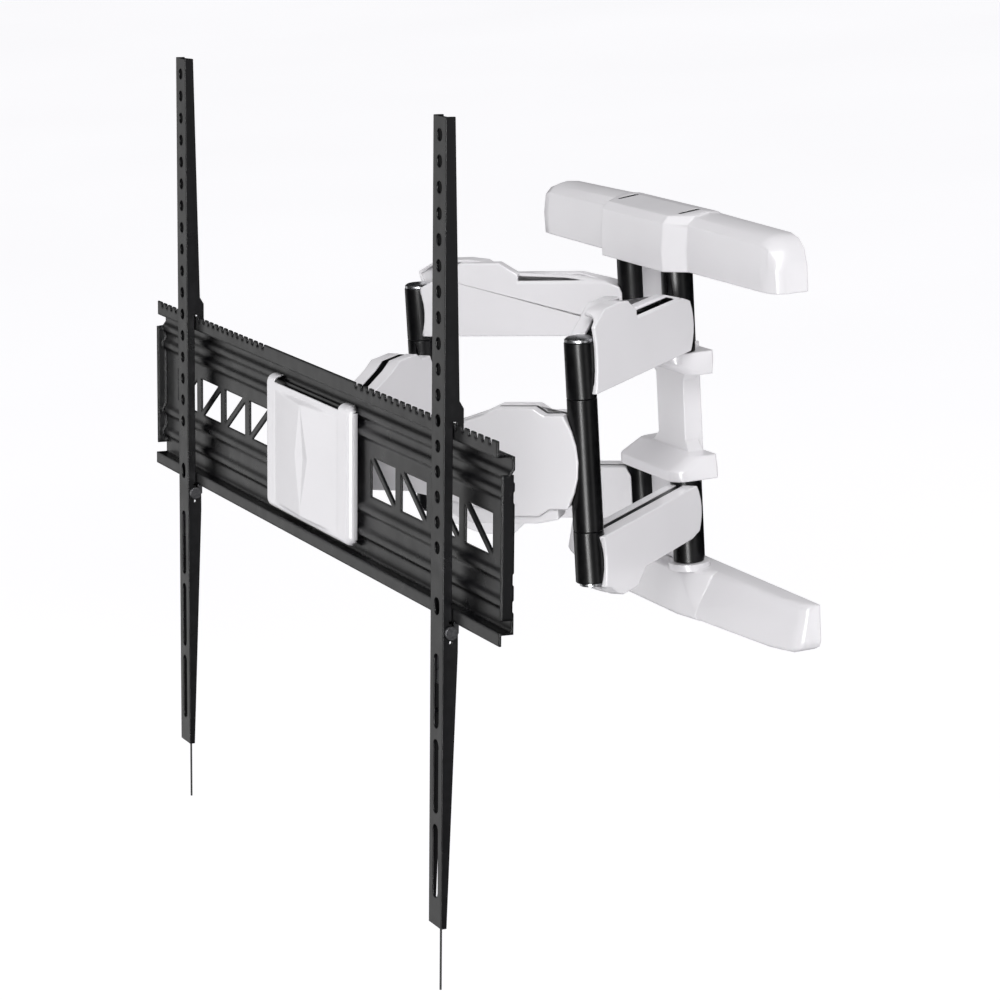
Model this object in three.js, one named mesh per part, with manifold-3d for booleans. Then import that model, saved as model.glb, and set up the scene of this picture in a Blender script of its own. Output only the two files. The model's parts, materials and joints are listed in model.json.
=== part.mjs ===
// Full motion TV wall mount: two folding arms between a covered wall bracket and a tilting TV plate.
//
// Frame: millimetres. The origin is the centre of the wall plate's back face, which lies on the wall.
// +X runs along the wall, +Y into the wall, +Z up. The TV hangs on the -Y side.
// The arms stand half unfolded and the TV plate leans back a little, which is the pose at rest.

import * as THREE from 'three';
import { mergeVertices } from 'three/addons/utils/BufferGeometryUtils.js';
import { ConvexGeometry } from 'three/addons/geometries/ConvexGeometry.js';
import Module from 'manifold-3d';

const wasm = await Module();
wasm.setup();

// ---------------------------------------------------------------- driving dimensions

const GAP = 0.3;                       // air between neighbouring pieces
const degrees = Math.PI / 180;

// Linkage, seen from above. Both arms on each side have the same length between pivots.
const pivotHalfSpacing = 44;           // wall pivots and head pivots stand at X = +-44
const wallPivotY = -28;
const armLength = 200;
const foldAngle = 50.5 * degrees;      // of a rear arm, from the wall plane
const tiltAtRest = 4 * degrees;        // top of the TV plate leans towards the wall

// Heights of the stacked tubes on a vertical pivot.
const forearmTubeTop = 55.85;
const rearTubeBottom = 56.15;
const elbowTubeTop = 103;
const wallTubeBottom = 57.3;
const wallTubeTop = 130.7;
const headTubeTop = 36;

const elbowTubeRadius = 12.7;
const wallTubeRadius = 13.6;
const pinRadius = 6;
const boreRadius = pinRadius + GAP;
const coreHalfThickness = 3;           // steel plate in the middle of each arm
const rearArmOuter = 16.5;             // from the core's middle plane to the outer cover's face
const rearArmInner = 12;
const forearmHalfThickness = 15;
const shellWall = 2.4;

// Wall bracket.
const wallPlateThickness = 3;
const wallPlateHalfWidth = 204;
const bracketBoltX = 30;
const bracketBoltZ = 154;
const coverHalfWidth = 232;
const coverFloor = 131;                // underside of the top cover
const topCoverHeight = 51;
const bottomCoverDrop = 4.5;           // the bottom cover lies this much further out than the top one
const bottomCoverHeight = 42;

// Head and TV plate. Depth d is measured forward from the face of the TV plate's sheet.
const headPivotY = wallPivotY - 2 * armLength * Math.sin(foldAngle);
const tiltAxisY = headPivotY - 16;
const plateHalfLength = 404;
const sheet = 2;
const lipDepth = 10;
const lipTop = 81;
const lipBottom = -75.5;

// VESA rails.
const railX = 302;
const railTop = 316;
const railBottom = -324;
const railHalfWidth = 12.5;
const railFront = 18;
const railHoleRadius = 4.85;
const railHolePitch = 20;
const railHoleCount = 17;
const firstRailHole = 301.7;
const cordRadius = 0.9;
const cordHang = 54;                   // free length below the rail
const screwSpot = { y: -11.5, z: -84 };

const COARSE = 12;
const FINE = 24;

// ---------------------------------------------------------------- materials

const whitePlastic = new THREE.MeshStandardMaterial({ color: 0xe9e7e8, roughness: 0.28, metalness: 0 });
const blackSteel = new THREE.MeshStandardMaterial({ color: 0x15151a, roughness: 0.45, metalness: 0.3 });
const glossBlack = new THREE.MeshStandardMaterial({ color: 0x0c0c0f, roughness: 0.2, metalness: 0.3 });
const zincSteel = new THREE.MeshStandardMaterial({ color: 0x9a9ca0, roughness: 0.35, metalness: 0.9 });
const blackCord = new THREE.MeshStandardMaterial({ color: 0x141414, roughness: 0.85, metalness: 0 });

// ---------------------------------------------------------------- solids

function solid(geometry) {
  const bare = geometry.clone();
  bare.deleteAttribute('normal');
  if (bare.attributes.uv) bare.deleteAttribute('uv');
  const merged = mergeVertices(bare, 1e-4);
  return new wasm.Manifold(new wasm.Mesh({
    numProp: 3,
    vertProperties: merged.attributes.position.array,
    triVerts: Uint32Array.from(merged.index.array),
  }));
}

function geometryOf(body) {
  const mesh = body.getMesh();
  const geometry = new THREE.BufferGeometry();
  geometry.setAttribute('position', new THREE.Float32BufferAttribute(mesh.vertProperties, 3));
  geometry.setIndex(Array.from(mesh.triVerts));
  geometry.computeVertexNormals();
  return geometry;
}

function join(...bodies) {
  return bodies.flat().reduce((whole, body) => whole.add(body));
}

function cut(body, ...tools) {
  return tools.flat().reduce((rest, tool) => rest.subtract(tool), body);
}

// A box given by its low and high corners.
function box(low, high) {
  const size = high.map((value, i) => value - low[i]);
  const geometry = new THREE.BoxGeometry(...size);
  geometry.translate(...low.map((value, i) => value + size[i] / 2));
  return solid(geometry);
}

// An upright round bar.
function post(x, y, radius, bottom, top, segments = FINE) {
  const geometry = new THREE.CylinderGeometry(radius, radius, top - bottom, segments);
  geometry.rotateX(Math.PI / 2);
  geometry.translate(x, y, (bottom + top) / 2);
  return solid(geometry);
}

// A round bar along X.
function crossBar(y, z, radius, left, right, segments = COARSE) {
  const geometry = new THREE.CylinderGeometry(radius, radius, right - left, segments);
  geometry.rotateZ(Math.PI / 2);
  geometry.translate((left + right) / 2, y, z);
  return solid(geometry);
}

// A round bar along Y.
function depthBar(x, z, radius, front, back, segments = COARSE) {
  const geometry = new THREE.CylinderGeometry(radius, radius, back - front, segments);
  geometry.translate(0, (front + back) / 2, 0);
  geometry.translate(x, 0, z);
  return solid(geometry);
}

function shapeOf(points) {
  return new THREE.Shape(points.map(([a, b]) => new THREE.Vector2(a, b)));
}

// An outline in X and Z, given thickness along Y.
function sideSlab(points, front, back) {
  const geometry = new THREE.ExtrudeGeometry(shapeOf(points), { depth: back - front, bevelEnabled: false });
  geometry.rotateX(Math.PI / 2);
  geometry.translate(0, back, 0);
  return solid(geometry);
}

// An outline in Y and Z, given length along X.
function crossSlab(points, left, right) {
  const geometry = new THREE.ExtrudeGeometry(shapeOf(points), { depth: right - left, bevelEnabled: false });
  const alongX = new THREE.Matrix4().makeBasis(
    new THREE.Vector3(0, 1, 0), new THREE.Vector3(0, 0, 1), new THREE.Vector3(1, 0, 0));
  geometry.applyMatrix4(alongX);
  geometry.translate(left, 0, 0);
  return solid(geometry);
}

// A rectangle in X and Y, even about X = 0, with rounded corners. Its back corners may be sharper.
function roundedPlan(halfWidth, front, back, radius, backRadius = radius) {
  const corner = (side, towardsWall) => {
    const r = towardsWall ? backRadius : radius;
    const points = [];
    for (let i = 0; i <= 4; i += 1) {
      const turn = (i / 4) * Math.PI / 2;
      const x = halfWidth - r + r * Math.sin(turn);
      const reach = r - r * Math.cos(turn);
      points.push([side * x, towardsWall ? back - reach : front + reach]);
    }
    return points;
  };
  return [...corner(-1, false), ...corner(1, false), ...corner(-1, true), ...corner(1, true)];
}

// A convex plan in X and Y, given height.
function planSlab(plan, bottom, top) {
  return hull([bottom, top].flatMap((z) => plan.map(([x, y]) => [x, y, z])));
}

function hull(points) {
  return solid(new ConvexGeometry(points.map((point) => new THREE.Vector3(...point))));
}

function mirroredZ(body) {
  const geometry = geometryOf(body);
  geometry.scale(1, 1, -1);
  const index = geometry.index.array;
  for (let i = 0; i < index.length; i += 3) {
    [index[i], index[i + 1]] = [index[i + 1], index[i]];
  }
  return solid(geometry);
}

// Points on an arc between two ends that bulges sideways by sag, to the left of the way from start to end.
function arc(start, end, sag, steps = 6) {
  const [ax, az] = start;
  const [bx, bz] = end;
  const length = Math.hypot(bx - ax, bz - az);
  const normal = [-(bz - az) / length, (bx - ax) / length];
  const points = [];
  for (let i = 0; i <= steps; i += 1) {
    const t = i / steps;
    const bulge = 4 * sag * t * (1 - t);
    points.push([ax + (bx - ax) * t + normal[0] * bulge, az + (bz - az) * t + normal[1] * bulge]);
  }
  return points;
}

// A bent sheet's closed outline, from the line that its middle follows.
function ribbon(line, thickness) {
  const normals = line.slice(1).map(([x, z], i) => {
    const [dx, dz] = [x - line[i][0], z - line[i][1]];
    const length = Math.hypot(dx, dz);
    return [-dz / length, dx / length];
  });
  const offset = (side) => line.map(([x, z], i) => {
    const before = normals[Math.max(i - 1, 0)];
    const after = normals[Math.min(i, normals.length - 1)];
    const sum = [before[0] + after[0], before[1] + after[1]];
    const scale = (side * thickness) / (1 + before[0] * after[0] + before[1] * after[1]) / 2;
    return [x + sum[0] * scale, z + sum[1] * scale];
  });
  return [...offset(1), ...offset(-1).reverse()];
}

// ---------------------------------------------------------------- wall bracket

function wallPlate() {
  const [t, w] = [wallPlateThickness, wallPlateHalfWidth];
  const bars = [[142, 162], [-162, -142]].map(([bottom, top]) => box([-w, -t, bottom], [w, 0, top]));
  const web = box([-20, -t, -150], [20, 0, 150]);
  const holes = [];
  for (const z of [152, -152]) {
    for (const x of [-190, 190]) {
      holes.push(box([x - 8, -9, z - 4], [x + 8, 9, z + 4]));
    }
  }
  for (const z of [bracketBoltZ, -bracketBoltZ]) {
    for (const x of [-bracketBoltX, bracketBoltX]) {
      holes.push(depthBar(x, z, 4.4, -9, 9));
    }
  }
  return cut(join(bars, web), holes);
}

// Room for the wall plate's web, where it passes behind the covers.
function webRoom() {
  return box([-20 - GAP, -wallPlateThickness - GAP, -145], [20 + GAP, 9, 145]);
}

// Steel bracket that holds two wall pins: a far tab inside the long cover, a near tab inside the boss,
// a web between them, and a collar on each tab that the wall tube turns against.
function pivotBracket() {
  const back = -wallPlateThickness - GAP;
  const flange = box([-44, back - 4, 140.3], [44, back, 168]);
  const tabs = [[140.3, 144.3], [50.2, 54.2]].map(([bottom, top]) => planSlab(
    roundedPlan(53.5, -37.5, back, 9), bottom, top));
  const web = box([-3, -24, 52], [3, back, 142]);
  const collars = [];
  const holes = [];
  for (const x of [-pivotHalfSpacing, pivotHalfSpacing]) {
    collars.push(post(x, wallPivotY, 9.4, wallTubeTop + GAP, 141, COARSE));
    collars.push(post(x, wallPivotY, 9.4, 53, wallTubeBottom - GAP, COARSE));
    holes.push(post(x, wallPivotY, boreRadius, 40, 150, COARSE));
  }
  for (const x of [-bracketBoltX, bracketBoltX]) {
    holes.push(depthBar(x, bracketBoltZ, 4.4, -20, 0));
  }
  return cut(join(flange, tabs, web, collars), holes);
}

function bracketBolt() {
  const seat = -wallPlateThickness - GAP - 4 - GAP;
  const head = depthBar(0, 0, 7, seat - 5, seat, 6);
  const shank = depthBar(0, 0, 4, seat - 1, -0.8, 12);
  return join(head, shank);
}

// Pin with a round head beyond the far tab and a nut under the near tab.
function wallPin() {
  const rod = post(0, 0, pinRadius, 43.8, 146, COARSE);
  const head = post(0, 0, 9, 144.6, 149, COARSE);
  const nut = post(0, 0, 8.5, 44.5, 49.9, 6);
  return join(rod, head, nut);
}

// Cross section of the top cover at one X, as corner points: floor, upright front, sloped crown and back.
function topSection(x, depth, crownDrop, inset) {
  const floor = coverFloor + inset;
  const front = -depth + inset;
  const crown = coverFloor + topCoverHeight - crownDrop - inset;
  const back = inset > 0 ? 6 : -GAP;
  return [[back, floor], [front, floor], [front - 0.5, floor + 18], [front + 2, crown - 9],
    [front + 8, crown - 3], [-13, crown], [back, crown - 1.5]].map(([y, z]) => [x, y, z]);
}

// The top cover: a prouder middle block with a shallower wing on each side, rounded down at the ends.
function topCoverBody(inset) {
  const middle = hull([-1, 1].flatMap((side) => [
    ...topSection(side * (60 - inset), 49.5, 0, inset),
    ...topSection(side * (78 - inset), 33, 0, inset),
  ]));
  const wings = [-1, 1].map((side) => hull([
    ...topSection(side * 60, 33.5, 1, inset),
    ...topSection(side * (coverHalfWidth - 26 - inset), 33, 3, inset),
    ...topSection(side * (coverHalfWidth - 13 - inset), 32, 6, inset),
    ...topSection(side * (coverHalfWidth - 4 - inset), 28, 14, inset),
    ...topSection(side * (coverHalfWidth - inset), 20, 27, inset),
  ]));
  return join(middle, wings);
}

// Cross section of the bottom cover at one X. Its front leans outwards from a ridge down to the lower edge.
function bottomSection(x, ridge, depth, rise, inset) {
  const ceiling = -coverFloor - bottomCoverDrop - inset;
  const floor = -coverFloor - bottomCoverDrop - bottomCoverHeight + rise + inset;
  const back = inset > 0 ? 6 : -GAP;
  return [[back, ceiling], [inset - ridge + 6, ceiling], [inset - ridge, ceiling - 3.5],
    [inset - depth, floor + 5], [inset - depth + 1.5, floor + 1.5], [inset - depth + 5, floor], [back, floor]]
    .map(([y, z]) => [x, y, z]);
}

function bottomCoverBody(inset) {
  const middle = hull([-1, 1].flatMap((side) => [
    ...bottomSection(side * (50 - inset), 42, 46.5, 0, inset),
    ...bottomSection(side * (78 - inset), 24, 42, 0, inset),
  ]));
  const wings = [-1, 1].map((side) => hull([
    ...bottomSection(side * 40, 24, 44, 0, inset),
    ...bottomSection(side * (coverHalfWidth - 40 - inset), 18, 31, 0, inset),
    ...bottomSection(side * (coverHalfWidth - 12 - inset), 16, 25, 1, inset),
    ...bottomSection(side * (coverHalfWidth - 3 - inset), 13, 19, 5, inset),
    ...bottomSection(side * (coverHalfWidth - inset), 9, 14, 11, inset),
  ]));
  return join(middle, wings);
}

// Opens a cover's floor for the bracket's collars and web.
function floorOpenings() {
  const collarHoles = [-1, 1].map((side) => post(side * pivotHalfSpacing, wallPivotY, 11, 120, 142, COARSE));
  const webSlot = box([-9, -25, 120], [9, 6, 140]);
  return [...collarHoles, webSlot, webRoom()];
}

function topCover() {
  const slits = [-1, 1].map((side) => box([side * 60 - 3.5, -31, 165], [side * 60 + 3.5, -10, 195]));
  return cut(topCoverBody(0), topCoverBody(shellWall), floorOpenings(), slits);
}

// The bottom cover has a raised seat under each tube.
function bottomCover() {
  const shell = cut(bottomCoverBody(0), bottomCoverBody(shellWall));
  const seats = [-1, 1].map((side) => post(side * pivotHalfSpacing, wallPivotY, 18.5,
    -coverFloor - bottomCoverDrop - 2, -coverFloor));
  return cut(join(shell, seats), floorOpenings().map(mirroredZ));
}

// Column cover: a slim middle, a flared boss around each pair of pin ends, and a rib out to each long cover.
function columnBody(inset) {
  const back = inset > 0 ? 6 : -GAP;
  const shaft = box([-26.5 + inset, -18 + inset, -60], [26.5 - inset, back, 60]);
  const bosses = [1, -1].map((side) => {
    const level = (plan, z) => plan.map(([x, y]) => [x, y, side * z]);
    const rim = roundedPlan(59 - inset, -46 + inset, inset > 0 ? back : -3, 14 - inset, 2);
    const under = roundedPlan(57 - inset, -26 + inset, inset > 0 ? back : -3, 12 - inset, 2);
    return hull([...level(rim, 57 - inset), ...level(rim, 47.5), ...level(under, 36 + inset)]);
  });
  const flares = [1, -1].map((side) => hull([-1, 1].flatMap((edge) => [
    [edge * (40 - inset), -20 + inset, side * 40], [edge * (40 - inset), -5, side * 40],
    [edge * (26.5 - inset), -18 + inset, side * (27 + inset)],
    [edge * (26.5 - inset), -5, side * (27 + inset)],
  ])));
  return join(shaft, bosses, flares);
}

function columnCover() {
  const ribHalfWidth = 25;
  const ribFront = -28;
  const top = coverFloor - GAP;
  const bottom = -coverFloor - bottomCoverDrop + GAP;
  const middle = box([-30, -60, -50], [30, 6, 50]);
  const rib = box([-ribHalfWidth, ribFront, bottom], [ribHalfWidth, -wallPlateThickness - GAP, top]);
  const ribInside = box([-ribHalfWidth + shellWall, ribFront + shellWall, bottom - 5],
    [ribHalfWidth - shellWall, 6, top + 5]);
  const outside = join(columnBody(0), cut(rib, middle));
  const inside = join(columnBody(shellWall), cut(ribInside, middle));
  const collarHoles = [-1, 1].flatMap((side) => [[-60, -50], [50, 60]].map(([low, high]) => post(
    side * pivotHalfSpacing, wallPivotY, 11, low, high, COARSE)));
  return cut(outside, inside, collarHoles, webRoom());
}

// ---------------------------------------------------------------- arms
// An arm lies along its own +X from its first pivot to its second, with Y through its thickness.

// Top edges of the rear arms' covers in side view, from the wall end to the elbow end.
// Each has a hump near the elbow.
const rearEdges = {
  upper_outer: [[10, 104], [26, 109], [48, 115.5], [120, 115.5],
    [136, 126], [152, 128], [182, 127.5], [201, 116]],
  upper_inner: [[10, 104], [24, 110], [60, 114.5], [103, 116],
    [120, 126.5], [157, 126.5], [176, 114], [196, 104]],
  lower_outer: [[10, 101], [26, 104.5], [126, 105], [143, 117.5],
    [172, 117.5], [183, 113], [194, 106], [205, 103]],
  lower_inner: [[10, 104], [24, 107], [103, 107], [120, 123], [150, 123], [165, 117.5], [194, 105]],
};

// Top edges of the steel cores. The upper one stays inside the covers; the lower one shows between them.
const coreEdges = {
  upper: [[10, 99], [24, 102], [50, 107], [110, 108], [180, 108], [190, 100]],
  lower: [[10, 100], [24, 107], [116, 109], [160, 114], [190, 104]],
};

function rearCoverOutline(edgeName, elbowEnd, inset = 0) {
  const floor = 60 + inset;
  const edge = rearEdges[edgeName].map(([x, z]) => [x, z - inset]);
  const last = edge[edge.length - 1];
  return [
    ...arc([elbowEnd - inset, floor], [Math.min(elbowEnd, last[0] + 2) - inset, last[1]], 4 + inset),
    ...edge.slice(1, -1).reverse(),
    ...arc([10 + inset, edge[0][1]], [12 + inset, floor], -7 + inset),
  ];
}

function rearCoreOutline(level, growth = 0) {
  const floor = 60.5 - growth;
  const edge = coreEdges[level].map(([x, z]) => [x, z + growth]);
  return [[10 - growth, floor], [190 + growth, floor], ...edge.reverse()];
}

// Steel core of a rear arm with its two tubes.
function rearArmCore(level) {
  const shorter = level === 'lower' ? 3 : 0;
  const plate = sideSlab(rearCoreOutline(level), -coreHalfThickness, coreHalfThickness);
  const wallTube = post(0, 0, wallTubeRadius, wallTubeBottom, wallTubeTop);
  const elbowTube = post(armLength, 0, elbowTubeRadius, rearTubeBottom, elbowTubeTop - shorter);
  const bores = [0, armLength].map((x) => post(x, 0, boreRadius, 40, 140, COARSE));
  const capRoom = post(armLength, 0, elbowTubeRadius + GAP, elbowTubeTop - shorter, 130);
  return cut(join(plate, wallTube, elbowTube), bores, capRoom);
}

// One half shell of an arm's cover, on the +Y side. The upper halves meet above and below the core
// and slope along the top; the lower ones stop beside the core.
function rearArmCover(level, face) {
  const beside = coreHalfThickness + GAP;
  const near = level === 'upper' ? GAP / 2 : beside;
  const far = face === 'outer' ? rearArmOuter : rearArmInner;
  const elbowEnd = face === 'outer' ? 205 : 196;
  const edgeName = `${level}_${face}`;
  const block = sideSlab(rearCoverOutline(edgeName, elbowEnd), near, far);
  const pocket = sideSlab(rearCoverOutline(edgeName, elbowEnd, shellWall), near - 1, far - shellWall);
  const coreRoom = sideSlab(rearCoreOutline(level, GAP), -1, beside);
  const slopeEnd = face === 'outer' ? 120 : 103;
  const slope = crossSlab([[far + 1, 107], [far - 9, 118], [far + 1, 118]], -20, slopeEnd);
  const wallTubeRoom = post(0, 0, wallTubeRadius + GAP, 40, 140);
  const elbowTubeRoom = post(armLength, 0, elbowTubeRadius + GAP, 40, 140);
  const cover = cut(block, pocket, coreRoom, wallTubeRoom, elbowTubeRoom);
  return level === 'upper' ? cut(cover, slope) : cover;
}

// Side view of a forearm, as its upper half. It has a hump by the elbow and narrows to the head.
const forearmTop = [[13, 43.5], [29, 43.5], [38, 49.5], [70, 49.5], [84, 43], [150, 22], [185, 21]];

function forearmCoverOutline(inset = 0) {
  const top = forearmTop.map(([x, z]) => [x, z - inset]);
  const bottom = forearmTop.map(([x, z]) => [x, -z + inset + Math.min(8, (z - 19) * 0.35)]);
  const [topStart, topEnd] = [top[0], top[top.length - 1]];
  const [bottomStart, bottomEnd] = [bottom[0], bottom[bottom.length - 1]];
  return [
    ...arc([bottomStart[0] + inset, bottomStart[1]], [topStart[0] + inset, topStart[1]], 11 - inset),
    ...top.slice(1, -1),
    ...arc([topEnd[0] - inset, topEnd[1]], [bottomEnd[0] - inset, bottomEnd[1]], 6 - inset),
    ...bottom.slice(1, -1).reverse(),
  ].reverse();
}

function forearmCoreOutline() {
  const top = forearmTop.map(([x, z]) => [x, z - 0.6]);
  const bottom = forearmTop.map(([x, z]) => [x, -z + 7]);
  const headEnd = [[190, 20], [190, -14]];
  return [[9, -34], [9, 41], ...top.slice(1, -1), ...headEnd, ...bottom.slice(1, -1).reverse()].reverse();
}

function forearmCore() {
  const plate = sideSlab(forearmCoreOutline(), -coreHalfThickness, coreHalfThickness);
  const elbowTube = post(0, 0, elbowTubeRadius, -forearmTubeTop, forearmTubeTop);
  const headTube = post(armLength, 0, elbowTubeRadius, -headTubeTop, headTubeTop);
  const bores = [0, armLength].map((x) => post(x, 0, boreRadius, -70, 70, COARSE));
  return cut(join(plate, elbowTube, headTube), bores);
}

function forearmCover() {
  const near = coreHalfThickness + GAP;
  const far = forearmHalfThickness;
  const block = sideSlab(forearmCoverOutline(), near, far);
  const pocket = sideSlab(forearmCoverOutline(shellWall), near - 1, far - shellWall);
  const tubes = [0, armLength].map((x) => post(x, 0, elbowTubeRadius + GAP, -70, 70));
  return cut(block, pocket, tubes);
}

// Cable channel along the lower edge of a forearm, astride the core.
function cableChannel() {
  const under = forearmCoverOutline()
    .filter(([x, z]) => z < -20 && x > 20 && x < 120)
    .sort((a, b) => a[0] - b[0]);
  const roof = under.map(([x, z]) => [x, z - GAP]);
  const outline = [[22, -45], [32, -47], [41, -48.5], [96, -48.5], [110, -43], [118, -36.5], [118, -28],
    ...roof.reverse(), [22, -36.2]];
  const body = sideSlab(outline, -12, 12);
  const grown = sideSlab(forearmCoreOutline().map(([x, z]) => [x, z < 0 ? z - 0.4 : z]),
    -coreHalfThickness - GAP, coreHalfThickness + GAP);
  return cut(body, grown);
}

// Pin through the three tubes of an elbow, with a flat foot under the lowest one.
function elbowPin() {
  const rod = post(0, 0, pinRadius, -101, elbowTubeTop, COARSE);
  const foot = post(0, 0, 9.6, -103, -elbowTubeTop + 3 - GAP);
  return join(rod, foot);
}

function elbowCap() {
  const low = elbowTubeTop + GAP;
  const profile = [[0, low], [12.2, low], [12.2, low + 2.2], [10.5, low + 3.6], [0, low + 4.2]];
  const geometry = new THREE.LatheGeometry(profile.map(([r, z]) => new THREE.Vector2(r, z)), FINE);
  geometry.rotateX(Math.PI / 2);
  return solid(geometry);
}

// ---------------------------------------------------------------- head

// Steel yoke behind the TV plate: a tab above and below the head tubes, a web between the tubes,
// and a side plate at each end with an ear on the tilt axis.
function headYoke() {
  const halfWidth = 61;
  const [front, sideDepth] = [tiltAxisY + 0.5, 3.5];
  const tabs = [[36.3, 40.3], [-40.3, -36.3]].map(([bottom, top]) => box(
    [-halfWidth, front, bottom], [halfWidth, headPivotY + 14, top]));
  const web = box([-27, tiltAxisY + 8, -38], [27, tiltAxisY + 11, 38]);
  const sides = [[-halfWidth, 3 - halfWidth], [halfWidth - 3, halfWidth]].map(([left, right]) => join(
    box([left, front, -38], [right, front + sideDepth, 38]),
    crossBar(tiltAxisY, 0, 9, left, right)));
  const pinHoles = [-1, 1].map((side) => post(
    side * pivotHalfSpacing, headPivotY, boreRadius, -60, 60, COARSE));
  const tiltHole = crossBar(tiltAxisY, 0, 4.3, -80, 80);
  const armRoom = box([-80, front + sideDepth, -36], [-30, headPivotY, 36]);
  const otherArmRoom = box([30, front + sideDepth, -36], [80, headPivotY, 36]);
  return cut(join(tabs, web, sides), pinHoles, tiltHole, armRoom, otherArmRoom);
}

function headPin() {
  const rod = post(0, 0, pinRadius, -45, 42, COARSE);
  const head = post(0, 0, 9, 40.6, 44, COARSE);
  const nut = post(0, 0, 9, -47, -40.6, 6);
  return join(rod, head, nut);
}

// Bolt on the tilt axis, through one ear of the yoke and one ear of the TV plate.
function tiltBolt() {
  const rivetEnd = crossBar(0, 0, 2.9, 55.5, 60, 12);
  const shank = crossBar(0, 0, 4, 58.5, 68, 12);
  const head = crossBar(0, 0, 7, 66.4, 71, 6);
  return join(rivetEnd, shank, head);
}

// ---------------------------------------------------------------- TV plate
// The plate's own frame has its origin on the tilt axis, at the middle of the sheet's front face:
// X along the plate, Y towards the wall, Z up the plate. Forward depth d is -Y.

const tray = { ledgeTop: 70, ledgeBottom: -67 };
const windows = { first: 119, width: 53, strut: 12.2, count: 4, bottom: -13, top: 20, bar: 7 };

// Middle line of the pressed sheet from the top lip to the bottom lip, with two ribs above and two below.
function sheetLine() {
  const [flat, raised] = [1, -2];
  const rib = (top) => [[flat, top], [raised, top - 4], [raised, top - 7], [flat, top - 11]];
  return [
    [-lipDepth + 1, lipTop], [-lipDepth + 1, tray.ledgeTop - 1], [flat, tray.ledgeTop - 1],
    ...rib(60), ...rib(44), ...rib(-19), ...rib(-40),
    [flat, tray.ledgeBottom + 1], [-lipDepth + 1, tray.ledgeBottom + 1], [-lipDepth + 1, lipBottom],
  ];
}

// One window of the truss: two triangles with a diagonal bar between them, leaning out from the middle.
function trussWindow(left, side) {
  const { width, bottom, top, bar } = windows;
  const right = left + width;
  const lower = [[left, bottom], [right - bar, bottom], [left, top - bar * 0.4]];
  const upper = [[left + bar, top], [right, top], [right, bottom + bar * 0.4]];
  const flip = (points) => (side > 0 ? points : points.map(([x, z]) => [-x, z]).reverse());
  return [lower, upper].map((points) => sideSlab(flip(points), -6, 6));
}

// Notches between the teeth of the top lip.
function toothNotches(side) {
  const [pitch, notchWidth, depth] = [13, 5.5, 4.5];
  const notches = [];
  for (let i = 0; i < 22; i += 1) {
    const x = side * (104 + pitch * (i + 0.5));
    const [narrow, wide] = [notchWidth / 2 - 1, notchWidth / 2 + 1];
    const outline = [[x - narrow, lipTop - depth], [x + narrow, lipTop - depth],
      [x + wide, lipTop + 2], [x - wide, lipTop + 2]];
    notches.push(sideSlab(outline, -lipDepth - 2, -lipDepth + 4));
  }
  return notches;
}

function tvPlate() {
  const body = crossSlab(ribbon(sheetLine(), sheet).reverse(), -plateHalfLength, plateHalfLength);
  const flanges = [-1, 1].map((side) => {
    const outer = side * plateHalfLength;
    const inner = side * (plateHalfLength - sheet);
    return box([Math.min(outer, inner), -9, -56], [Math.max(outer, inner), 1, 56]);
  });
  const ears = [[-66, -63], [63, 66]].map(([left, right]) => box([left, -9, -11], [right, sheet, 18]));
  const boltRoom = [[-73, -66], [66, 73]].map(([left, right]) => crossBar(0, 0, 8.5, left, right));
  const opening = box([-63, -6, -52], [63, 6, 52]);
  const foldedArmRoom = box([-70, -6, -28], [70, 6, -11]);
  const trimmed = cut(body, opening, foldedArmRoom, boltRoom);
  const cells = [];
  for (const side of [-1, 1]) {
    for (let i = 0; i < windows.count; i += 1) {
      cells.push(...trussWindow(windows.first + i * (windows.width + windows.strut), side));
    }
  }
  const lipEnds = [[-410, -397], [397, 410]].map(([left, right]) => box(
    [left, -lipDepth - 2, tray.ledgeTop - 3], [right, -1, lipTop + 5]));
  const tiltHole = crossBar(0, 0, 4.3, -80, 80);
  const sheetBody = cut(trimmed, cells, toothNotches(-1), toothNotches(1), lipEnds);
  return cut(join(sheetBody, flanges, ears), tiltHole);
}

// White cover in front of the head, open at the back and along its top, on four studs.
function headCover() {
  const body = (inset) => {
    const back = inset > 0 ? 4 : -4.4;
    const raised = inset > 0 ? 70 : 57;
    const rectangle = (halfWidth, bottom, top, y) => [
      [-halfWidth + inset, y, bottom + inset], [halfWidth - inset, y, bottom + inset],
      [halfWidth - inset, y, top], [-halfWidth + inset, y, top]];
    return hull([
      ...rectangle(97, -60, raised, back),
      ...rectangle(97, -60, raised, -8),
      ...rectangle(82, -51, raised - 5, -14 + inset),
    ]);
  };
  const studs = [[-78, 28], [78, 28], [-78, -14], [78, -14]].map(([x, z]) => depthBar(
    x, z, 3.5, -11.5, -GAP, 8));
  return join(cut(body(0), body(shellWall)), studs);
}

// ---------------------------------------------------------------- rails
// A rail's own frame is the plate's, moved along X: its front face is at d = 18.

function railSlot(centre, length) {
  const half = length / 2 - railHoleRadius;
  const ends = [-half, half].map((shift) => depthBar(0, centre + shift, railHoleRadius, -22, -12, 12));
  const middle = box([-railHoleRadius, -22, centre - half], [railHoleRadius, -12, centre + half]);
  return join(ends, middle);
}

// Side view of a flange, with the hook that drops behind the plate's top lip.
function flangeOutline() {
  return [[-railFront, railTop], [-railFront, railBottom], [-13, railBottom], [-5, -100], [-5, -84],
    [-lipDepth - 0.5, -80], [-lipDepth - 0.5, lipTop + 1], [-lipDepth + 2.4, lipTop + 1],
    [-lipDepth + 2.4, tray.ledgeTop + 1], [-1.4, tray.ledgeTop + 1], [-1.4, 92], [-5, 98], [-10, railTop]];
}

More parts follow.
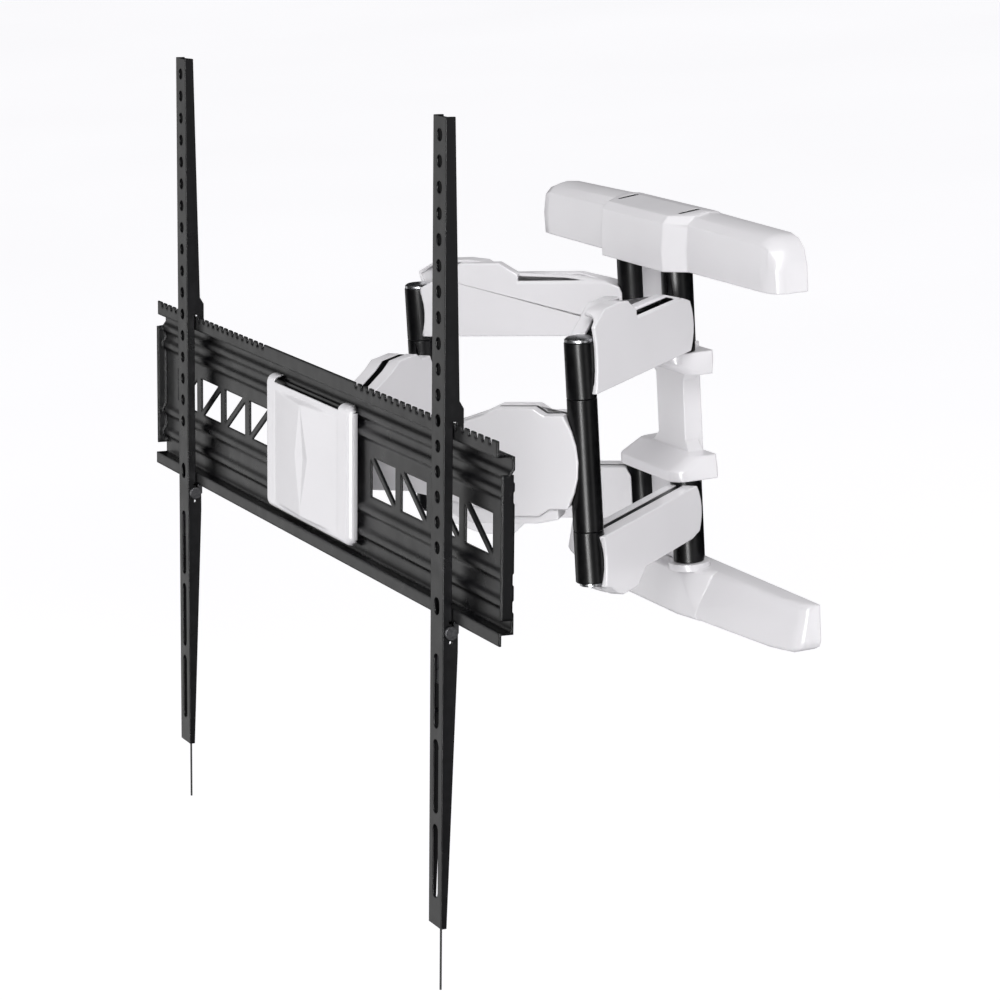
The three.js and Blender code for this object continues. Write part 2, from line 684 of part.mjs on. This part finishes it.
function rail() {
  const front = box([-railHalfWidth, -railFront, railBottom], [railHalfWidth, -railFront + 2, railTop]);
  const flanges = [[-railHalfWidth, 2 - railHalfWidth], [railHalfWidth - 2, railHalfWidth]]
    .map(([left, right]) => crossSlab(flangeOutline(), left, right));
  const guide = box([2 - railHalfWidth - 0.5, -railFront + 1, -152], [railHalfWidth - 1.5, -11, -149.5]);
  const holes = [];
  for (let k = 0; k < railHoleCount; k += 1) {
    holes.push(depthBar(0, firstRailHole - railHolePitch * k, railHoleRadius, -22, -12, 12));
  }
  const slots = [railSlot(-64.8, 14), railSlot(-132.9, 60), railSlot(-201.9, 60), railSlot(-270.9, 60)];
  const cordHole = post(0, -12.6, 1.3, -160, -140, 8);
  const screwHole = crossBar(screwSpot.y, screwSpot.z, 2.6, 5, 20, 12);
  const pegHoles = [8, -8].map((rise) => crossBar(screwSpot.y, screwSpot.z + rise, 1.4, 5, 20, 8));
  return cut(join(front, flanges, guide), holes, slots, cordHole, screwHole, pegHoles);
}

// Spring latch that hooks up behind the plate's bottom lip from inside the rail.
function latch() {
  const outline = [[-15.5, -81], [-15.5, -128], [-11, -128], [-11, -86], [-3, -86], [-3, -70],
    [-7.4, -70], [-7.4, -81]];
  return crossSlab(outline, -9.5, 9.5);
}

function lockScrew() {
  const shank = crossBar(screwSpot.y, screwSpot.z, 2.2, 9.9, 13.5, 12);
  const head = crossBar(screwSpot.y, screwSpot.z, 5.4, railHalfWidth + GAP, railHalfWidth + GAP + 3, 16);
  return join(shank, head);
}

// Pull cord from the latch, down inside the rail and on below its end, in line with the rail.
function pullCord() {
  const top = -128 - GAP;
  const path = new THREE.LineCurve3(new THREE.Vector3(0, -12.6, top),
    new THREE.Vector3(0, -12.6, railBottom - cordHang));
  const section = new THREE.Shape();
  for (let i = 0; i < 8; i += 1) {
    const turn = (i / 8) * 2 * Math.PI;
    const [a, b] = [cordRadius * Math.cos(turn), cordRadius * Math.sin(turn)];
    if (i === 0) section.moveTo(a, b);
    else section.lineTo(a, b);
  }
  return solid(new THREE.ExtrudeGeometry(section, { steps: 40, bevelEnabled: false, extrudePath: path }));
}

// ---------------------------------------------------------------- assembly

const mount = new THREE.Group();

function place(parent, name, body, material) {
  const mesh = new THREE.Mesh(geometryOf(body), material);
  mesh.name = name;
  parent.add(mesh);
  return mesh;
}

function groupAt(parent, x, y, z = 0, turn = 0) {
  const group = new THREE.Group();
  group.position.set(x, y, z);
  group.rotation.z = turn;
  parent.add(group);
  return group;
}

// Shows a piece as its own mirror image in one axis of its group.
function mirrored(mesh, axis) {
  mesh.scale[axis] = -1;
  return mesh;
}

function addWallBracket() {
  place(mount, 'wall_plate', wallPlate(), blackSteel);
  place(mount, 'pivot_bracket_upper', pivotBracket(), blackSteel);
  place(mount, 'pivot_bracket_lower', mirroredZ(pivotBracket()), blackSteel);
  place(mount, 'top_cover', topCover(), whitePlastic);
  place(mount, 'bottom_cover', bottomCover(), whitePlastic);
  place(mount, 'column_cover', columnCover(), whitePlastic);
  for (const [side, sign] of [['right', 1], ['left', -1]]) {
    for (const [level, up] of [['upper', 1], ['lower', -1]]) {
      const pinSpot = groupAt(mount, sign * pivotHalfSpacing, wallPivotY);
      const pin = place(pinSpot, `wall_pin_${level}_${side}`, wallPin(), zincSteel);
      if (up < 0) mirrored(pin, 'z');
      const boltSpot = groupAt(mount, sign * bracketBoltX, 0, up * bracketBoltZ);
      place(boltSpot, `bracket_bolt_${level}_${side}`, bracketBolt(), zincSteel);
    }
  }
}

function addArm(side) {
  const sign = side === 'right' ? 1 : -1;
  const towardsElbow = sign > 0 ? -foldAngle : foldAngle - Math.PI;
  const towardsHead = sign > 0 ? foldAngle - Math.PI : -foldAngle;
  const rear = groupAt(mount, sign * pivotHalfSpacing, wallPivotY, 0, towardsElbow);
  const elbowX = sign * (pivotHalfSpacing + armLength * Math.cos(foldAngle));
  const elbowY = wallPivotY - armLength * Math.sin(foldAngle);
  const forearm = groupAt(mount, elbowX, elbowY, 0, towardsHead);
  const faces = sign > 0 ? ['outer', 'inner'] : ['inner', 'outer'];

  for (const level of ['upper', 'lower']) {
    const core = place(rear, `${side}_rear_arm_${level}`, rearArmCore(level), glossBlack);
    const [first, second] = faces.map((face) => place(
      rear, `${side}_rear_cover_${level}_${face}`, rearArmCover(level, face), whitePlastic));
    mirrored(second, 'y');
    if (level === 'lower') [core, first, second].forEach((mesh) => mirrored(mesh, 'z'));
  }
  const elbow = groupAt(mount, elbowX, elbowY);
  place(elbow, `${side}_elbow_pin`, elbowPin(), zincSteel);
  place(elbow, `${side}_elbow_cap`, elbowCap(), zincSteel);

  place(forearm, `${side}_forearm`, forearmCore(), glossBlack);
  place(forearm, `${side}_forearm_cover_${faces[1]}`, forearmCover(), whitePlastic);
  mirrored(place(forearm, `${side}_forearm_cover_${faces[0]}`, forearmCover(), whitePlastic), 'y');
  place(forearm, `${side}_cable_channel`, cableChannel(), whitePlastic);
}

function addHead() {
  place(mount, 'head_yoke', headYoke(), blackSteel);
  for (const [side, sign] of [['right', 1], ['left', -1]]) {
    place(groupAt(mount, sign * pivotHalfSpacing, headPivotY), `head_pin_${side}`, headPin(), zincSteel);
    const turn = sign > 0 ? 0 : Math.PI;
    place(groupAt(mount, 0, tiltAxisY, 0, turn), `tilt_bolt_${side}`, tiltBolt(), zincSteel);
  }
}

function addTvPlate() {
  const plate = groupAt(mount, 0, tiltAxisY);
  plate.rotation.x = -tiltAtRest;
  place(plate, 'tv_plate', tvPlate(), blackSteel);
  place(plate, 'head_cover', headCover(), whitePlastic);
  for (const [side, sign] of [['right', 1], ['left', -1]]) {
    const spot = groupAt(plate, sign * railX, 0);
    place(spot, `rail_${side}`, rail(), blackSteel);
    place(spot, `latch_${side}`, latch(), zincSteel);
    place(spot, `lock_screw_${side}`, lockScrew(), zincSteel);
    place(spot, `pull_cord_${side}`, pullCord(), blackCord);
  }
}

addWallBracket();
addArm('right');
addArm('left');
addHead();
addTvPlate();

export default mount;
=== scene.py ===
"""Looks of a full motion TV wall mount: white covers over black steel arms, and a black plate with two rails.

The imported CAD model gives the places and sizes. Each of its nodes is redrawn here as a finished piece
with rounded edges, smooth tubes and a procedural material. The head cover and the pull cords are drawn anew.
"""

import json
import math

import bmesh
import bpy
from mathutils import Matrix, Vector


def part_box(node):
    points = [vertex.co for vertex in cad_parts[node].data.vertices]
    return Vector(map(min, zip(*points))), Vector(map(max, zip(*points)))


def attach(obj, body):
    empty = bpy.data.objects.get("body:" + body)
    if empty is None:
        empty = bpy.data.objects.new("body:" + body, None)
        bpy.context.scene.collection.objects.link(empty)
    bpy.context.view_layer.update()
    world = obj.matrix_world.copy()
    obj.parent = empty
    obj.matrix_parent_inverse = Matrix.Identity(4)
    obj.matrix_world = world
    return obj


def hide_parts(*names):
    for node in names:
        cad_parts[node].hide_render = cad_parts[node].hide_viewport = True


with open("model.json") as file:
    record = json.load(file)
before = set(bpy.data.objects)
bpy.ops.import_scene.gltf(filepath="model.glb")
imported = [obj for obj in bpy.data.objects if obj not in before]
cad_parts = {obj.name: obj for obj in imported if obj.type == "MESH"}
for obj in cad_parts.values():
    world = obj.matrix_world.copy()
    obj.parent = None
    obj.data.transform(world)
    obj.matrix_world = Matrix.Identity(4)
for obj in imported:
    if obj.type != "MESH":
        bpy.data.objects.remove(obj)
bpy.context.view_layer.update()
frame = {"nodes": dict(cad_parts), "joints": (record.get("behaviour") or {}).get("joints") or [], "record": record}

MM = 0.001


def add_object(name, data):
    """Puts a mesh, curve, light or camera into the scene."""
    made = bpy.data.objects.new(name, data)
    bpy.context.scene.collection.objects.link(made)
    return made


# ---------------------------------------------------------------- camera

CAMERA_PLACE = Vector((2.8155, -1.3934, 0.6368))
CAMERA_AZIMUTH = math.radians(66.81)
CAMERA_ELEVATION = math.radians(12.85)
CAMERA_ROLL = math.radians(3.2)
CAMERA_LENS = 129.6


def add_camera():
    """Looks at the mount from the right and a little above, with the photograph's slight roll."""
    a, e, roll = CAMERA_AZIMUTH, CAMERA_ELEVATION, CAMERA_ROLL
    back = Vector((math.sin(a) * math.cos(e), -math.cos(a) * math.cos(e), math.sin(e)))
    level_right = Vector((math.cos(a), math.sin(a), 0))
    level_up = back.cross(level_right)
    right = level_right * math.cos(roll) - level_up * math.sin(roll)
    up = level_right * math.sin(roll) + level_up * math.cos(roll)
    data = bpy.data.cameras.new("camera")
    data.lens = CAMERA_LENS
    data.sensor_width = 36
    data.clip_end = 50
    camera = add_object("camera", data)
    turn = Matrix((right, up, back)).transposed().to_4x4()
    camera.matrix_world = Matrix.Translation(CAMERA_PLACE) @ turn
    bpy.context.scene.camera = camera


# ---------------------------------------------------------------- materials


class Surface:
    """A procedural material under construction, with helpers for its usual nodes."""

    def __init__(self, name, roughness, metallic=0.0, specular=0.5, coat=0.0, coat_roughness=0.1):
        self.material = bpy.data.materials.new(name)
        self.material.use_nodes = True
        self.nodes = self.material.node_tree.nodes
        self.links = self.material.node_tree.links
        self.shader = self.nodes["Principled BSDF"]
        self.shader.inputs["Roughness"].default_value = roughness
        self.shader.inputs["Metallic"].default_value = metallic
        self.shader.inputs["Specular IOR Level"].default_value = specular
        self.shader.inputs["Coat Weight"].default_value = coat
        self.shader.inputs["Coat Roughness"].default_value = coat_roughness
        self.place = self.nodes.new("ShaderNodeTexCoord").outputs["Object"]

    def noise(self, grains_per_metre, detail=3.0, stretch=(1, 1, 1)):
        """Noise with about so many grains in a metre, pulled out along an axis by a small stretch value."""
        mapping = self.nodes.new("ShaderNodeMapping")
        mapping.inputs["Scale"].default_value = stretch
        self.links.new(self.place, mapping.inputs["Vector"])
        noise = self.nodes.new("ShaderNodeTexNoise")
        noise.inputs["Scale"].default_value = grains_per_metre
        noise.inputs["Detail"].default_value = detail
        self.links.new(mapping.outputs["Vector"], noise.inputs["Vector"])
        return noise.outputs["Fac"]

    def spread(self, value, low, high, from_low=0.3, from_high=0.7):
        """Maps a 0..1 value onto the range low..high."""
        spread = self.nodes.new("ShaderNodeMapRange")
        spread.inputs["From Min"].default_value = from_low
        spread.inputs["From Max"].default_value = from_high
        spread.inputs["To Min"].default_value = low
        spread.inputs["To Max"].default_value = high
        self.links.new(value, spread.inputs["Value"])
        return spread.outputs["Result"]

    def colours(self, value, first, second):
        """Blends two colours by a 0..1 value."""
        mix = self.nodes.new("ShaderNodeMix")
        mix.data_type = "RGBA"
        mix.inputs["A"].default_value = (*first, 1)
        mix.inputs["B"].default_value = (*second, 1)
        self.links.new(value, mix.inputs["Factor"])
        return mix.outputs["Result"]

    def worn_edges(self, colour, bare, amount):
        """Shows a lighter colour along convex edges, broken up by noise."""
        edges = self.nodes.new("ShaderNodeNewGeometry").outputs["Pointiness"]
        mask = self.spread(edges, 0, amount, 0.53, 0.6)
        patches = self.spread(self.noise(160, 4), 0, 1, 0.35, 0.65)
        product = self.nodes.new("ShaderNodeMath")
        product.operation = "MULTIPLY"
        self.links.new(mask, product.inputs[0])
        self.links.new(patches, product.inputs[1])
        mix = self.nodes.new("ShaderNodeMix")
        mix.data_type = "RGBA"
        self.links.new(product.outputs["Value"], mix.inputs["Factor"])
        self.links.new(colour, mix.inputs["A"])
        mix.inputs["B"].default_value = (*bare, 1)
        return mix.outputs["Result"]

    def bump(self, value, height, edge_radius):
        """Surface relief, on top of a soft rounding of the piece's edges."""
        rounded = self.nodes.new("ShaderNodeBevel")
        rounded.samples = 6
        rounded.inputs["Radius"].default_value = edge_radius
        bump = self.nodes.new("ShaderNodeBump")
        self.links.new(rounded.outputs["Normal"], bump.inputs["Normal"])
        bump.inputs["Strength"].default_value = 1
        bump.inputs["Distance"].default_value = height
        self.links.new(value, bump.inputs["Height"])
        self.links.new(bump.outputs["Normal"], self.shader.inputs["Normal"])

    def set(self, socket, value):
        """Feeds a value into one of the shader's sockets."""
        self.links.new(value, self.shader.inputs[socket])


def white_plastic():
    """Moulded glossy plastic: faint mould flow in the colour, a soft orange peel and fine handling marks."""
    made = Surface("white_plastic", 0.3, specular=0.5, coat=0.25, coat_roughness=0.12)
    flow = made.spread(made.noise(9, 2), 0, 1)
    made.set("Base Color", made.colours(flow, (0.715, 0.705, 0.72), (0.745, 0.735, 0.75)))
    made.set("Roughness", made.spread(made.noise(70, 4), 0.3, 0.36))
    made.bump(made.noise(260, 1), 0.003 * MM, 1.6 * MM)
    return made.material


def black_powder_coat(name, edge_radius):
    """Satin powder coat on pressed steel, with its pebbled grain and slightly rubbed edges."""
    made = Surface(name, 0.3, specular=0.25)
    cloud = made.spread(made.noise(14, 3), 0, 1)
    colour = made.colours(cloud, (0.0025, 0.0025, 0.003), (0.005, 0.005, 0.006))
    made.set("Base Color", made.worn_edges(colour, (0.02, 0.02, 0.022), 0.6))
    made.set("Roughness", made.spread(made.noise(60, 2), 0.27, 0.33))
    made.bump(made.noise(1500, 1), 0.0006 * MM, edge_radius)
    return made.material


def gloss_black_paint():
    """Smooth stoved paint on the arm tubes and cores, with faint vertical polishing lines."""
    made = Surface("gloss_black_paint", 0.3, specular=0.35)
    lines = made.noise(900, 2, stretch=(1, 1, 0.02))
    cloud = made.spread(made.noise(25, 3), 0, 1)
    colour = made.colours(cloud, (0.0015, 0.0015, 0.002), (0.003, 0.003, 0.0036))
    made.set("Base Color", made.worn_edges(colour, (0.03, 0.03, 0.033), 0.6))
    made.set("Roughness", made.spread(lines, 0.29, 0.34))
    made.bump(lines, 0.001 * MM, 0.6 * MM)
    return made.material


def zinc_plate():
    """Bright zinc on the pins, bolts and caps, with its mottled crystals."""
    made = Surface("zinc_plate", 0.3, metallic=1.0)
    mottle = made.spread(made.noise(300, 4), 0, 1)
    made.set("Base Color", made.colours(mottle, (0.5, 0.51, 0.53), (0.68, 0.68, 0.7)))
    made.set("Roughness", made.spread(made.noise(800, 3), 0.22, 0.42))
    made.bump(made.noise(1800, 2), 0.01 * MM, 0.4 * MM)
    return made.material


def black_hardware():
    """Blackened steel of the lock screws and latches."""
    made = Surface("black_hardware", 0.3, metallic=0.6)
    mottle = made.spread(made.noise(400, 3), 0, 1)
    colour = made.colours(mottle, (0.05, 0.05, 0.053), (0.1, 0.1, 0.105))
    made.set("Base Color", made.worn_edges(colour, (0.25, 0.25, 0.26), 0.8))
    made.set("Roughness", made.spread(made.noise(900, 3), 0.24, 0.4))
    made.bump(made.noise(1800, 2), 0.01 * MM, 0.4 * MM)
    return made.material


def braided_cord():
    """Thin braided cord: slanting strands along its length."""
    made = Surface("braided_cord", 0.8)
    wave = made.nodes.new("ShaderNodeTexWave")
    wave.bands_direction = "DIAGONAL"
    wave.inputs["Scale"].default_value = 260
    wave.inputs["Distortion"].default_value = 1.5
    made.links.new(made.place, wave.inputs["Vector"])
    made.set("Base Color", made.colours(wave.outputs["Fac"], (0.006, 0.006, 0.006), (0.03, 0.03, 0.03)))
    made.set("Roughness", made.spread(made.noise(900, 2), 0.7, 0.9))
    made.bump(wave.outputs["Fac"], 0.15 * MM, 0.2 * MM)
    return made.material


# ---------------------------------------------------------------- pull cords

PLATE_LEAN = math.radians(4)
RAIL_X = 302 * MM
CORD_DEPTH = -12.6 * MM
CORD_TOP = -128.3 * MM
CORD_END = -378 * MM
CORD_RADIUS = 0.9 * MM
CORD_POINTS = 41


def tilt_axis_place():
    """The middle of the tilt axis, from the joint in the record."""
    tilt = next(joint for joint in frame["joints"] if joint["name"] == "tilt")
    return Vector(tilt["pos_m"])


def on_plate(x, y, z):
    """A point given along the TV plate, towards the wall and up the plate, from the tilt axis."""
    lean = Matrix.Rotation(-PLATE_LEAN, 3, "X")
    return tilt_axis_place() + lean @ Vector((x, y, z))


def add_pull_cord(side, material):
    """The thin cord that runs from a latch down inside its rail, and on below the rail's end."""
    x = RAIL_X if side == "right" else -RAIL_X
    curve = bpy.data.curves.new(f"pull_cord_{side}_braid", "CURVE")
    curve.dimensions = "3D"
    curve.bevel_depth = CORD_RADIUS
    curve.bevel_resolution = 3
    curve.use_fill_caps = True
    line = curve.splines.new("POLY")
    line.points.add(CORD_POINTS - 1)
    for i, point in enumerate(line.points):
        z = CORD_TOP + (CORD_END - CORD_TOP) * i / (CORD_POINTS - 1)
        point.co = (*on_plate(x, CORD_DEPTH, z), 1)
    cord = add_object(curve.name, curve)
    curve.materials.append(material)
    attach(cord, f"latch_{side}_body")
    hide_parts(f"pull_cord_{side}")


# ---------------------------------------------------------------- finished pieces

CREASE = math.radians(32)     # edges sharper than this are rounded off
SHARP = math.radians(50)      # edges still sharper than this are shaded as sharp
MOST_VOLUME_CHANGE = 0.04     # the share of a piece's volume that its rounding may add or take away
MOST_GROWTH = 0.02 * MM       # how far its rounding may push out its box


def edge_radius(node):
    """How round the real piece's edges are, in metres."""
    if "channel" in node or "cover" in node:
        return 1.1 * MM
    if "rear_arm" in node or node.endswith("forearm"):
        return 0.6 * MM
    if "rail" in node or "tv_plate" in node:
        return 0.45 * MM
    return 0.4 * MM


def can_be_rounded(edge, radius):
    """Whether an edge is sharp and has room for the rounding on both of its faces."""
    if not edge.is_manifold or edge.calc_face_angle() < CREASE or edge.calc_length() < 3 * radius:
        return False
    return all(face.calc_area() > (4 * radius) ** 2 for face in edge.link_faces)


def whole_faces(source):
    """A CAD mesh as bmesh, with its triangulated flat faces made whole again."""
    bm = bmesh.new()
    bm.from_mesh(source)
    bmesh.ops.remove_doubles(bm, verts=bm.verts, dist=0.01 * MM)
    bmesh.ops.dissolve_limit(bm, angle_limit=math.radians(0.1), verts=bm.verts, edges=bm.edges)
    return bm


def extent(bm):
    """The lengths of a mesh's box."""
    return [max(v.co[i] for v in bm.verts) - min(v.co[i] for v in bm.verts) for i in range(3)]


def keeps_shape(bm, plain):
    """Whether rounding left the piece's volume and box nearly as they were."""
    volume, plain_volume = bm.calc_volume(), plain.calc_volume()
    if abs(volume - plain_volume) > MOST_VOLUME_CHANGE * plain_volume:
        return False
    return all(new < old + MOST_GROWTH for new, old in zip(extent(bm), extent(plain)))


def rounded_mesh(source, radius, name):
    """A copy of a CAD mesh with its sharp edges rounded, by less where the full radius would spoil it."""
    plain = whole_faces(source)
    for share in (1, 0.5, 0.25):
        bm = plain.copy()
        sharp = [edge for edge in bm.edges if can_be_rounded(edge, share * radius)]
        bmesh.ops.bevel(bm, geom=sharp, offset=share * radius, segments=3, profile=0.5,
                        affect="EDGES", clamp_overlap=False)
        if keeps_shape(bm, plain):
            break
        bm.free()
    else:
        bm = plain.copy()
    bmesh.ops.triangulate(bm, faces=bm.faces, quad_method="BEAUTY", ngon_method="BEAUTY")
    for face in bm.faces:
        face.smooth = True
    for edge in bm.edges:
        edge.smooth = not edge.is_manifold or edge.calc_face_angle() < SHARP
    mesh = bpy.data.meshes.new(name)
    bm.to_mesh(mesh)
    bm.free()
    plain.free()
    return mesh


def add_finished_piece(node, body, material):
    """Redraws one CAD node with rounded edges and its material, in its place."""
    mesh = rounded_mesh(frame["nodes"][node].data, edge_radius(node), f"{node}_finished")
    mesh.materials.clear()
    mesh.materials.append(material)
    piece = add_object(mesh.name, mesh)
    weighted = piece.modifiers.new("flat_faces_stay_flat", "WEIGHTED_NORMAL")
    weighted.keep_sharp = True
    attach(piece, body)
    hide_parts(node)


def add_pieces(materials):
    """Redraws every CAD node but the head cover and the pull cords, which have functions of their own."""
    slots = {part["node"]: part["material_slot"] for part in frame["record"]["subparts"]}
    bodies = frame["record"]["behaviour"]["bodies"]
    for body, nodes in bodies.items():
        for node in nodes:
            if node.startswith("pull_cord") or node == "head_cover":
                continue
            slot = slots[node]
            look = slot
            if node.startswith(("lock_screw", "latch")):
                look = "hardware"
            elif node == "tv_plate":
                look = "pressed_plate"
            add_finished_piece(node, body, materials[look])


# ---------------------------------------------------------------- head cover
# All in millimetres, along the TV plate (u), up it (v) and out from it (depth).

COVER_HALF_WIDTH = 98
COVER_BOTTOM, COVER_TOP = -60, 59
COVER_CORNER = 9              # corner radius of its outline
COVER_EDGE = 6                # width of the rounded rim
STRIP_DEPTH, BACK_DEPTH = 12.4, 3.3
PANEL_HALF_WIDTH = 76         # the roof-shaped panel between the two side strips
PANEL_BOTTOM, PANEL_TOP = -54, 48
PANEL_STEP = 3                # width of the soft step round the panel
OPEN_ABOVE = 52.5             # the cover stops here between the side strips
RIDGE_DEPTH, VALLEY_DEPTH = 17.4, 12
DIAMOND_HALF = (15, 47)
DIAMOND_CUT = 2.6             # how deep the diamond is cut into the panel's ridge
COVER_WALL = 1.2
GRID_PITCH = 1


def inside_outline(u, v):
    """How far a point of the head cover lies inside its round-cornered outline; negative outside."""
    middle_v = (COVER_BOTTOM + COVER_TOP) / 2
    half_v = (COVER_TOP - COVER_BOTTOM) / 2
    du = abs(u) - (COVER_HALF_WIDTH - COVER_CORNER)
    dv = abs(v - middle_v) - (half_v - COVER_CORNER)
    outside = math.hypot(max(du, 0), max(dv, 0))
    return COVER_CORNER - outside - min(max(du, dv), 0)


def smooth_step(t):
    """Goes gently from 0 at t = 0 to 1 at t = 1."""
    t = min(max(t, 0), 1)
    return t * t * (3 - 2 * t)


def cover_depth(u, v):
    """How far the head cover stands out at a point: a rounded rim, and a roof-shaped panel with a diamond."""
    rim = min(max(inside_outline(u, v), 0) / COVER_EDGE, 1)
    strip = BACK_DEPTH + (STRIP_DEPTH - BACK_DEPTH) * math.sqrt(1 - (1 - rim) ** 2)
    roof = RIDGE_DEPTH - (RIDGE_DEPTH - VALLEY_DEPTH) * abs(u) / PANEL_HALF_WIDTH
    diamond = DIAMOND_CUT * max(0, 1 - abs(u) / DIAMOND_HALF[0] - abs(v) / DIAMOND_HALF[1])
    beside, above, below = PANEL_HALF_WIDTH - abs(u), PANEL_TOP - v, v - PANEL_BOTTOM
    on_panel = math.prod(smooth_step(inside / PANEL_STEP) for inside in (beside, above, below))
    return strip + (roof - diamond - STRIP_DEPTH) * on_panel


def add_head_cover(material):
    """The white cover in front of the head, open along its top between the side strips."""
    columns = round(2 * COVER_HALF_WIDTH / GRID_PITCH)
    rows = round((COVER_TOP - COVER_BOTTOM) / GRID_PITCH)
    bm = bmesh.new()
    grid = []
    for row in range(rows + 1):
        v = COVER_BOTTOM + (COVER_TOP - COVER_BOTTOM) * row / rows
        line = []
        for column in range(columns + 1):
            u = COVER_HALF_WIDTH * (2 * column / columns - 1)
            line.append(bm.verts.new(on_plate(u * MM, -cover_depth(u, v) * MM, v * MM)))
        grid.append(line)
    for row in range(rows):
        for column in range(columns):
            u = COVER_HALF_WIDTH * (2 * (column + 0.5) / columns - 1)
            v = COVER_BOTTOM + (COVER_TOP - COVER_BOTTOM) * (row + 0.5) / rows
            open_top = abs(u) < PANEL_HALF_WIDTH and v > OPEN_ABOVE
            if inside_outline(u, v) < 0 or open_top:
                continue
            low, high = grid[row], grid[row + 1]
            face = bm.faces.new((low[column], low[column + 1], high[column + 1], high[column]))
            face.smooth = True
    bmesh.ops.delete(bm, geom=[vert for vert in bm.verts if not vert.link_faces], context="VERTS")
    mesh = bpy.data.meshes.new("head_cover_finished")
    bm.to_mesh(mesh)
    bm.free()
    mesh.materials.append(material)
    cover = add_object(mesh.name, mesh)
    wall = cover.modifiers.new("wall", "SOLIDIFY")
    wall.thickness = COVER_WALL * MM
    wall.offset = -1
    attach(cover, "plate")
    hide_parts("head_cover")


# ---------------------------------------------------------------- painted shade sheets

# Black sheets of painted shade, put where only shade falls: inside the head cover's open top and down in the top
# cover's slits.
SHADE_SHEET_HALF_WIDTH = 68
SHADE_SHEET_BEND = [(28, 4.6), (52, 4.6), (54, 3.8)]               # (height, depth) on the TV plate
SLIT_X, SLIT_HALF_WIDTH = 60, 3.3
SLIT_SLOPE = [(-30.8, -2.3), (-13, -0.4), (-10.2, -0.7)]      # (y, height from the top of the crown)


def add_sheet(name, body, material, first_side, second_side):
    """A thin bent sheet between two lines of points."""
    count = len(first_side)
    faces = [(i, i + 1, count + i + 1, count + i) for i in range(count - 1)]
    mesh = bpy.data.meshes.new(name)
    mesh.from_pydata(first_side + second_side, [], faces)
    mesh.materials.append(material)
    sheet = add_object(name, mesh)
    sheet.modifiers.new("wall", "SOLIDIFY").thickness = 0.8 * MM
    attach(sheet, body)


def add_shade_sheets(material):
    """Black sheets that close the view into the covers: painted shade, put where only shade falls inside them."""
    sides = [[on_plate(x * MM, -depth * MM, v * MM) for v, depth in SHADE_SHEET_BEND]
             for x in (-SHADE_SHEET_HALF_WIDTH, SHADE_SHEET_HALF_WIDTH)]
    add_sheet("head_shade_sheet", "plate", material, *sides)
    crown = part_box("top_cover")[1][2]
    for side, slit in (("right", SLIT_X), ("left", -SLIT_X)):
        sides = [[Vector((x * MM, y * MM, crown + z * MM)) for y, z in SLIT_SLOPE]
                 for x in (slit + SLIT_HALF_WIDTH, slit - SLIT_HALF_WIDTH)]
        add_sheet(f"slit_shade_sheet_{side}", "wall", material, *sides)


# ---------------------------------------------------------------- surroundings

FLOOR_DROP = 1.5              # the mount hangs this high over the floor


def add_floor():
    """A pale floor that runs into the bright background, and that the black steel doesn't mirror."""
    made = Surface("pale_floor", 0.9, specular=0.1)
    cloud = made.spread(made.noise(0.5, 2), 0, 1)
    made.set("Base Color", made.colours(cloud, (0.93, 0.93, 0.935), (0.95, 0.95, 0.955)))
    made.shader.inputs["Emission Color"].default_value = (1, 1, 1, 1)
    made.shader.inputs["Emission Strength"].default_value = 0.2
    bm = bmesh.new()
    bmesh.ops.create_grid(bm, x_segments=8, y_segments=8, size=30)
    mesh = bpy.data.meshes.new("floor")
    bm.to_mesh(mesh)
    bm.free()
    mesh.materials.append(made.material)
    floor = add_object("floor", mesh)
    floor.location = (0, 0, -FLOOR_DROP)
    floor.visible_glossy = False


def add_area_light(name, azimuth, height, distance, size, power, only_gloss=False):
    """A softbox that faces the mount. Azimuth 0 is straight in front of the wall, and 90 to its right."""
    data = bpy.data.lights.new(name, "AREA")
    data.shape = "RECTANGLE"
    data.size, data.size_y = size
    data.energy = power
    light = add_object(name, data)
    turn = math.radians(azimuth)
    place = Vector((distance * math.sin(turn), -distance * math.cos(turn), height))
    aim = (Vector((0, -0.2, 0)) - place).to_track_quat("-Z", "Y")
    light.matrix_world = Matrix.Translation(place) @ aim.to_matrix().to_4x4()
    light.visible_camera = False
    light.visible_diffuse = not only_gloss


def add_lights():
    """An even bright room, a key from the right and front, and strips that show only as highlights."""
    world = bpy.data.worlds.new("studio")
    world.use_nodes = True
    background = world.node_tree.nodes["Background"]
    background.inputs["Color"].default_value = (0.985, 0.98, 1.0, 1)
    background.inputs["Strength"].default_value = 0.85
    world.cycles_visibility.glossy = False
    bpy.context.scene.world = world
    add_area_light("key", 60, 2.4, 3.2, (1.6, 1.6), 64)
    add_area_light("tube_strip", 54, 0.3, 3.0, (0.7, 2.6), 170, only_gloss=True)
    add_area_light("plate_glow", -57, -0.7, 3.4, (1.7, 4.0), 21, only_gloss=True)
    add_area_light("flange_glow", 113, -0.3, 3.4, (1.2, 2.0), 7, only_gloss=True)
    add_area_light("crown_glow", 20, 2.6, 1.6, (2.4, 0.8), 6, only_gloss=True)
    bpy.context.scene.view_settings.view_transform = "Standard"


# ---------------------------------------------------------------- scene

add_camera()
looks = {
    "white_cover": white_plastic(),
    "black_steel": black_powder_coat("black_powder_coat", 1.2 * MM),
    "pressed_plate": black_powder_coat("black_plate_coat", 3.5 * MM),
    "gloss_black": gloss_black_paint(),
    "zinc": zinc_plate(),
    "cord": braided_cord(),
    "hardware": black_hardware(),
}
for cord_side in ("right", "left"):
    add_pull_cord(cord_side, looks["cord"])
add_pieces(looks)
add_head_cover(looks["white_cover"])
# Painted shade: black sheets inside the head cover's open top and the top cover's slits.
add_shade_sheets(looks["black_steel"])
add_floor()
add_lights()
